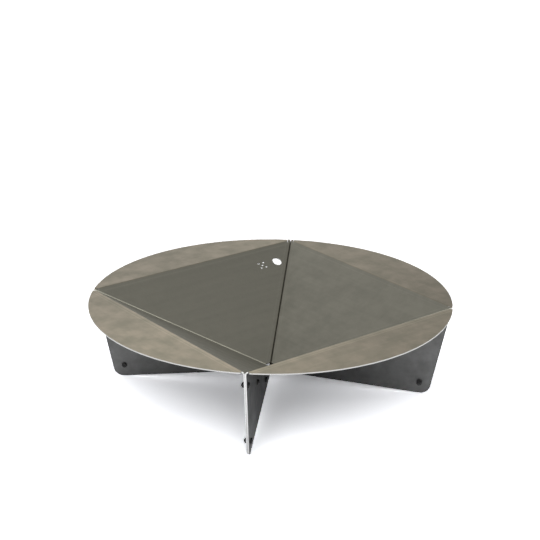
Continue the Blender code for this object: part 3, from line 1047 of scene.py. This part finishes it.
def screw_outline():
    """Half the screw's section, from the middle of the head to the middle of the tip."""
    land = SOCKET_ACROSS / 2 / cos(pi / 6) + HEAD_LAND
    outline = [(0, HEAD_HEIGHT)]
    for i in range(DOME_STEPS + 1):
        angle = pi / 2 * i / DOME_STEPS
        across = land + (HEAD_DIAMETER / 2 - land) * sin(angle)
        outline.append((across, HEAD_RIM + (HEAD_HEIGHT - HEAD_RIM) * cos(angle)))
    shank = BOLT_DIAMETER / 2
    core = shank - THREAD_DEPTH
    thread_start = THREAD_TURNS * THREAD_PITCH - shank_length
    outline += [(HEAD_DIAMETER / 2 - HEAD_CHAMFER, 0), (shank, 0), (shank, thread_start)]
    outline += [(core, thread_start - THREAD_DEPTH), (core, TIP_CHAMFER - shank_length)]
    return outline + [(core - TIP_CHAMFER, -shank_length), (0, -shank_length)]


socket = prism("socket", SOCKET_ACROSS, HEAD_HEIGHT - SOCKET_DEPTH, 2 * HEAD_HEIGHT)
screw_blank = turned_mesh("screw_blank", screw_outline(), SCREW_STEPS, socket)
print("screw blank:", len(screw_blank.polygons), "faces")

# %% [markdown]
# ## The thread
#
# The thread only shows where the tip stands out of the nut, but that is where a close look
# goes, so it is real. A bump pattern would do from far away. Here a Geometry Nodes spiral with
# a diamond section is sunk to half its width in a core of the right diameter.

# %% Wind the thread
THREAD_STEPS = 28


def joined(tree, *parts):
    both = add(tree, "GeometryNodeJoinGeometry")
    for part in parts:
        tree.links.new(part, both.inputs[0])
    return both.outputs[0]


def thread_tree():
    sizes = {"Radius": "Float", "Ridge": "Float", "Turns": "Float", "Height": "Float"}
    tree, given, made = new_geometry_tree("Rolled Thread", **sizes, Bottom="Vector")
    winding = {"Resolution": THREAD_STEPS, "Rotations": given["Turns"], "Height": given["Height"]}
    radii = {"Start_Radius": given["Radius"], "End_Radius": given["Radius"]}
    helix = result(tree, "GeometryNodeCurveSpiral", **winding, **radii)
    level_section = result(tree, "GeometryNodeSetCurveNormal", mode="Z_UP", Curve=helix)
    diamond = result(tree, "GeometryNodeCurvePrimitiveCircle", Resolution=4, Radius=given["Ridge"])
    section = {"Profile_Curve": diamond, "Fill_Caps": True}
    ridge = result(tree, "GeometryNodeCurveToMesh", Curve=level_section, **section)
    moved = result(tree, "GeometryNodeTransform", Geometry=ridge, Translation=given["Bottom"])
    return hand_out_coated(tree, given, made, joined(tree, moved, given["Geometry"]))


screw_item = in_workshop("screw", screw_blank)
thread_bottom = (0, 0, THREAD_PITCH / 2 - shank_length)
add_tree(
    screw_item,
    thread_tree(),
    Radius=BOLT_DIAMETER / 2 - THREAD_DEPTH,
    Ridge=THREAD_DEPTH,
    Turns=float(THREAD_TURNS - 1),
    Height=THREAD_PITCH * (THREAD_TURNS - 1),
    Bottom=thread_bottom,
    Finish=black_oxide,
)
screw = finished_mesh(screw_item, "screw")
print("screw:", len(screw.polygons), "faces")

# %% [markdown]
# ## Hexagon nuts
#
# A nut is cut from hexagon bar, and its corners are turned off at both ends. It is modelled in
# just that way: the part of a prism that lies inside a barrel with two cones. The bore gets a
# small countersink at each end, because every real nut has one to lead the screw in.

# %% Shape the nut
NUT_CHAMFER = radians(30)
NUT_COUNTERSINK = 0.0005
BORE_RADIUS = 0.0041
# Both cutting cones run on past the nut's faces, so that no two faces share a plane
RUN_ON = 0.001
# The barrel is this much wider than the hexagon's corners
BARREL_ROOM = 0.0003
BARREL_STEPS = 64
BORE_STEPS = 36


def both_ends(upper):
    """An outline that is the same at both ends of the nut, from its upper half."""
    return upper + [(across, NUT_HEIGHT - height) for across, height in reversed(upper)]


def nut_mesh():
    flat = NUT_ACROSS / 2
    corner = flat / cos(pi / 6) + BARREL_ROOM
    fall = (corner - flat) * tan(NUT_CHAMFER)
    point = flat - RUN_ON / tan(NUT_CHAMFER)
    past = NUT_HEIGHT + RUN_ON
    outline = both_ends([(0, past), (point, past), (corner, NUT_HEIGHT - fall)])
    barrel = in_workshop("barrel", turned_mesh("barrel", outline, BARREL_STEPS))
    sink = BORE_RADIUS + NUT_COUNTERSINK + RUN_ON
    outline = both_ends([(0, past), (sink, past), (BORE_RADIUS, NUT_HEIGHT - NUT_COUNTERSINK)])
    bore = in_workshop("bore", turned_mesh("bore", outline, BORE_STEPS))
    item = prism("nut", NUT_ACROSS, 0, NUT_HEIGHT)
    keep = item.modifiers.new("turned corners", "BOOLEAN")
    keep.operation = "INTERSECT"
    keep.solver = "EXACT"
    keep.object = barrel
    cut_with(item, bore)
    mesh = finished_mesh(item, "nut")
    for used in (barrel, bore):
        bpy.data.objects.remove(used)
    return mesh


nut = nut_mesh()
print("nut:", len(nut.polygons), "faces")

# %% [markdown]
# ## Set the fasteners in each leg
#
# Sixteen screws and sixteen nuts follow one rule: three along a line and one in the foot, each
# left at whatever angle the key stopped at. That is a job for a tree. It takes the fastener as
# its geometry and puts it on the points of a row and a foot, tilted to point out of the leg,
# with a random spin from a fixed seed.

# %% The leg fastener tree
def fastener_tree():
    row_inputs = {"Row_Start": "Vector", "Row_End": "Vector", "Row_Count": "Int"}
    other_inputs = {"Foot": "Vector", "Tilt": "Vector", "Spin_Seed": "Int"}
    tree, given, made = new_geometry_tree("Leg Fasteners", **row_inputs, **other_inputs)
    ends = {"Start_Location": given["Row Start"], "Offset": given["Row End"]}
    row = result(tree, "GeometryNodeMeshLine", mode="END_POINTS", Count=given["Row Count"], **ends)
    foot = result(tree, "GeometryNodeMeshLine", mode="OFFSET", Count=1, Start_Location=given["Foot"])
    tilt = result(tree, "FunctionNodeEulerToRotation", Euler=given["Tilt"])
    seated = {"Points": joined(tree, foot, row), "Instance": given["Geometry"], "Rotation": tilt}
    placed = result(tree, "GeometryNodeInstanceOnPoints", **seated)
    angle = add(tree, "FunctionNodeRandomValue", data_type="FLOAT", i3=2 * pi, Seed=given["Spin Seed"])
    about_axis = result(tree, "ShaderNodeCombineXYZ", Z=angle.outputs[1])
    turn = result(tree, "FunctionNodeEulerToRotation", Euler=about_axis)
    spun = result(tree, "GeometryNodeRotateInstances", Instances=placed, Rotation=turn)
    return hand_out_coated(tree, given, made, spun)


leg_fasteners = fastener_tree()
print("leg fastener tree with", len(leg_fasteners.nodes), "nodes")

# %% Screws and nuts for the four legs
LEGS = {
    "front": radians(-90),
    "right": radians(0),
    "back": radians(90),
    "left": radians(180),
}
# Heads are on this side of every leg, and nuts on the other
HEAD_SIDE = 1
# The nuts' random turns come from seeds this far past the screws'
NUT_SEEDS = 10


def seat_fasteners(leg, turn, kind, mesh, side, seed):
    """The four screws or nuts of one leg, seated on one of its faces."""
    def on_face(place):
        return (place.x, side * seat, place.y)

    item = in_workshop(kind, mesh)
    add_tree(
        item,
        leg_fasteners,
        Row_Start=on_face(bolt_row[0]),
        Row_End=on_face(bolt_row[1]),
        Row_Count=ROW_BOLTS,
        Foot=on_face(foot_bolt),
        Tilt=(-side * pi / 2, 0, 0),
        Spin_Seed=seed,
        Finish=black_oxide,
    )
    made = finished_mesh(item, "%s_leg_%ss" % (leg, kind))
    made.materials.clear()
    made.materials.append(black_oxide)
    made.transform(Matrix.Translation((0, 0, RIM_HEIGHT)) @ Matrix.Rotation(turn, 4, "Z"))
    nodes = ["leg_%s_%s_%d" % (leg, kind, i + 1) for i in range(ROW_BOLTS + 1)]
    return dress(made.name, shade(made, made.name), nodes)


for seed, (leg, turn) in enumerate(LEGS.items()):
    screws = seat_fasteners(leg, turn, "bolt", screw, HEAD_SIDE, seed)
    nuts = seat_fasteners(leg, turn, "nut", nut, -HEAD_SIDE, seed + NUT_SEEDS)
    print(leg, "leg:", len(screws.data.polygons), "+", len(nuts.data.polygons), "faces")

# %% Clear the workshop away
for item in list(workshop.objects):
    bpy.data.objects.remove(item)
bpy.data.collections.remove(workshop)

# %% [markdown]
# ## A white studio
#
# The floor is a white sweep that runs out white in every direction, so the only grey on it is
# the pit's own shadow. More light would do that too, but it would also bleach the steel, so the
# white is the floor's own colour, and only where it is looked at, straight or in a mirror. It is
# brightest close to the pit, which keeps the shadow light without making the far floor glare.

# %% Floor
FLOOR_SIZE = 24.0
FLOOR_DROP = 0.0004
# Colours close to the pit and further out, and the reach within which one fades to the other
FLOOR_CLOSE = (2.50, 2.52, 2.60, 1)
FLOOR_FAR = (1.40, 1.40, 1.40, 1)
CLOSE_REACH = 0.55
FAR_REACH = 0.80
# Colour for all light that isn't looked at
FLOOR_UNSEEN = (0.8, 0.8, 0.8, 1)


def white_floor():
    shape = bmesh.new()
    bmesh.ops.create_grid(shape, x_segments=1, y_segments=1, size=FLOOR_SIZE / 2)
    mesh = mesh_of(shape, "floor")
    floor = in_scene("floor", mesh)
    floor.location.z = -FLOOR_DROP
    material = bpy.data.materials.new("white_sweep")
    material.use_nodes = True
    tree = material.node_tree
    tree.nodes.remove(tree.nodes["Principled BSDF"])
    from_pit = vector_calc(tree, "LENGTH", add(tree, "ShaderNodeTexCoord").outputs["Object"])
    fade = mapped(tree, from_pit, smooth=True, From_Min=CLOSE_REACH, From_Max=FAR_REACH)
    colour = mixed(tree, fade, FLOOR_CLOSE, FLOOR_FAR)
    seen = result(tree, "ShaderNodeBsdfDiffuse", Color=colour)
    unseen = result(tree, "ShaderNodeBsdfDiffuse", Color=FLOOR_UNSEEN)
    path = add(tree, "ShaderNodeLightPath").outputs
    looked_at = path["Is Camera Ray"]
    for other in ("Is Glossy Ray", "Is Transmission Ray"):
        looked_at = calc(tree, "MAXIMUM", looked_at, path[other])
    mix = result(tree, "ShaderNodeMixShader", i0=looked_at, i1=unseen, i2=seen)
    wire(tree, tree.nodes["Material Output"], Surface=mix)
    mesh.materials.append(material)
    return floor


floor = white_floor()
print("floor at height", round(floor.location.z, 4))

# %% [markdown]
# ## Light in the room
#
# Steel has no look of its own: it shows the room. Lamps would leave hard shapes in it, so the
# room is a world of a few soft patches of light, each with a direction, a spread and a strength.
# The rim mirrors what stands low behind it, the walls mirror what hangs higher, and the legs and
# cut edges mirror the floor and what is behind the camera. One large weak lamp overhead gives
# the shadow its middle.

# %% World and lamp
ROOM_BASE = 0.20
# Azimuth from +X and height of each patch's middle in degrees, its spread and its strength
ROOM_PATCHES = [
    (90, 10, 52, 0.413),
    (135, 12, 52, 0.652),
    (266, 40, 52, 2.26),
    (20, 40, 35, 0.262),
    (340, 30, 40, 0.4),
]
LAMP_PLACE = Vector((0, 0.2, 2.6))
LAMP_AIM = Vector((0, 0, 0.2))
LAMP_SIZE = 2.0
LAMP_POWER = 3.2


def soft_patch(tree, direction, azimuth, height, spread, strength):
    """A round patch of light in the room that fades out towards its spread."""
    flat = cos(radians(height))
    middle = (cos(radians(azimuth)) * flat, sin(radians(azimuth)) * flat, sin(radians(height)))
    facing = vector_calc(tree, "DOT_PRODUCT", direction, middle)
    return mapped(tree, facing, smooth=True, From_Min=cos(radians(spread)), To_Max=strength)


def soft_world():
    world = bpy.data.worlds.new("white_room")
    world.use_nodes = True
    tree = world.node_tree
    direction = add(tree, "ShaderNodeTexCoord").outputs["Generated"]
    light = ROOM_BASE
    for patch in ROOM_PATCHES:
        light = calc(tree, "ADD", light, soft_patch(tree, direction, *patch))
    room = result(tree, "ShaderNodeBackground", Color=light)
    white = result(tree, "ShaderNodeBackground", Color=(1, 1, 1, 1))
    camera_ray = add(tree, "ShaderNodeLightPath").outputs["Is Camera Ray"]
    mix = result(tree, "ShaderNodeMixShader", i0=camera_ray, i1=room, i2=white)
    wire(tree, tree.nodes["World Output"], Surface=mix)
    bpy.context.scene.world = world


def overhead_lamp():
    light = bpy.data.lights.new("overhead", "AREA")
    light.shape = "SQUARE"
    light.size = LAMP_SIZE
    light.energy = LAMP_POWER
    lamp = in_scene("overhead", light)
    lamp.location = LAMP_PLACE
    lamp.rotation_euler = (LAMP_AIM - LAMP_PLACE).to_track_quat("-Z", "Y").to_euler()


soft_world()
overhead_lamp()
print("a room of", len(ROOM_PATCHES), "soft patches, and a lamp of", LAMP_POWER, "W")
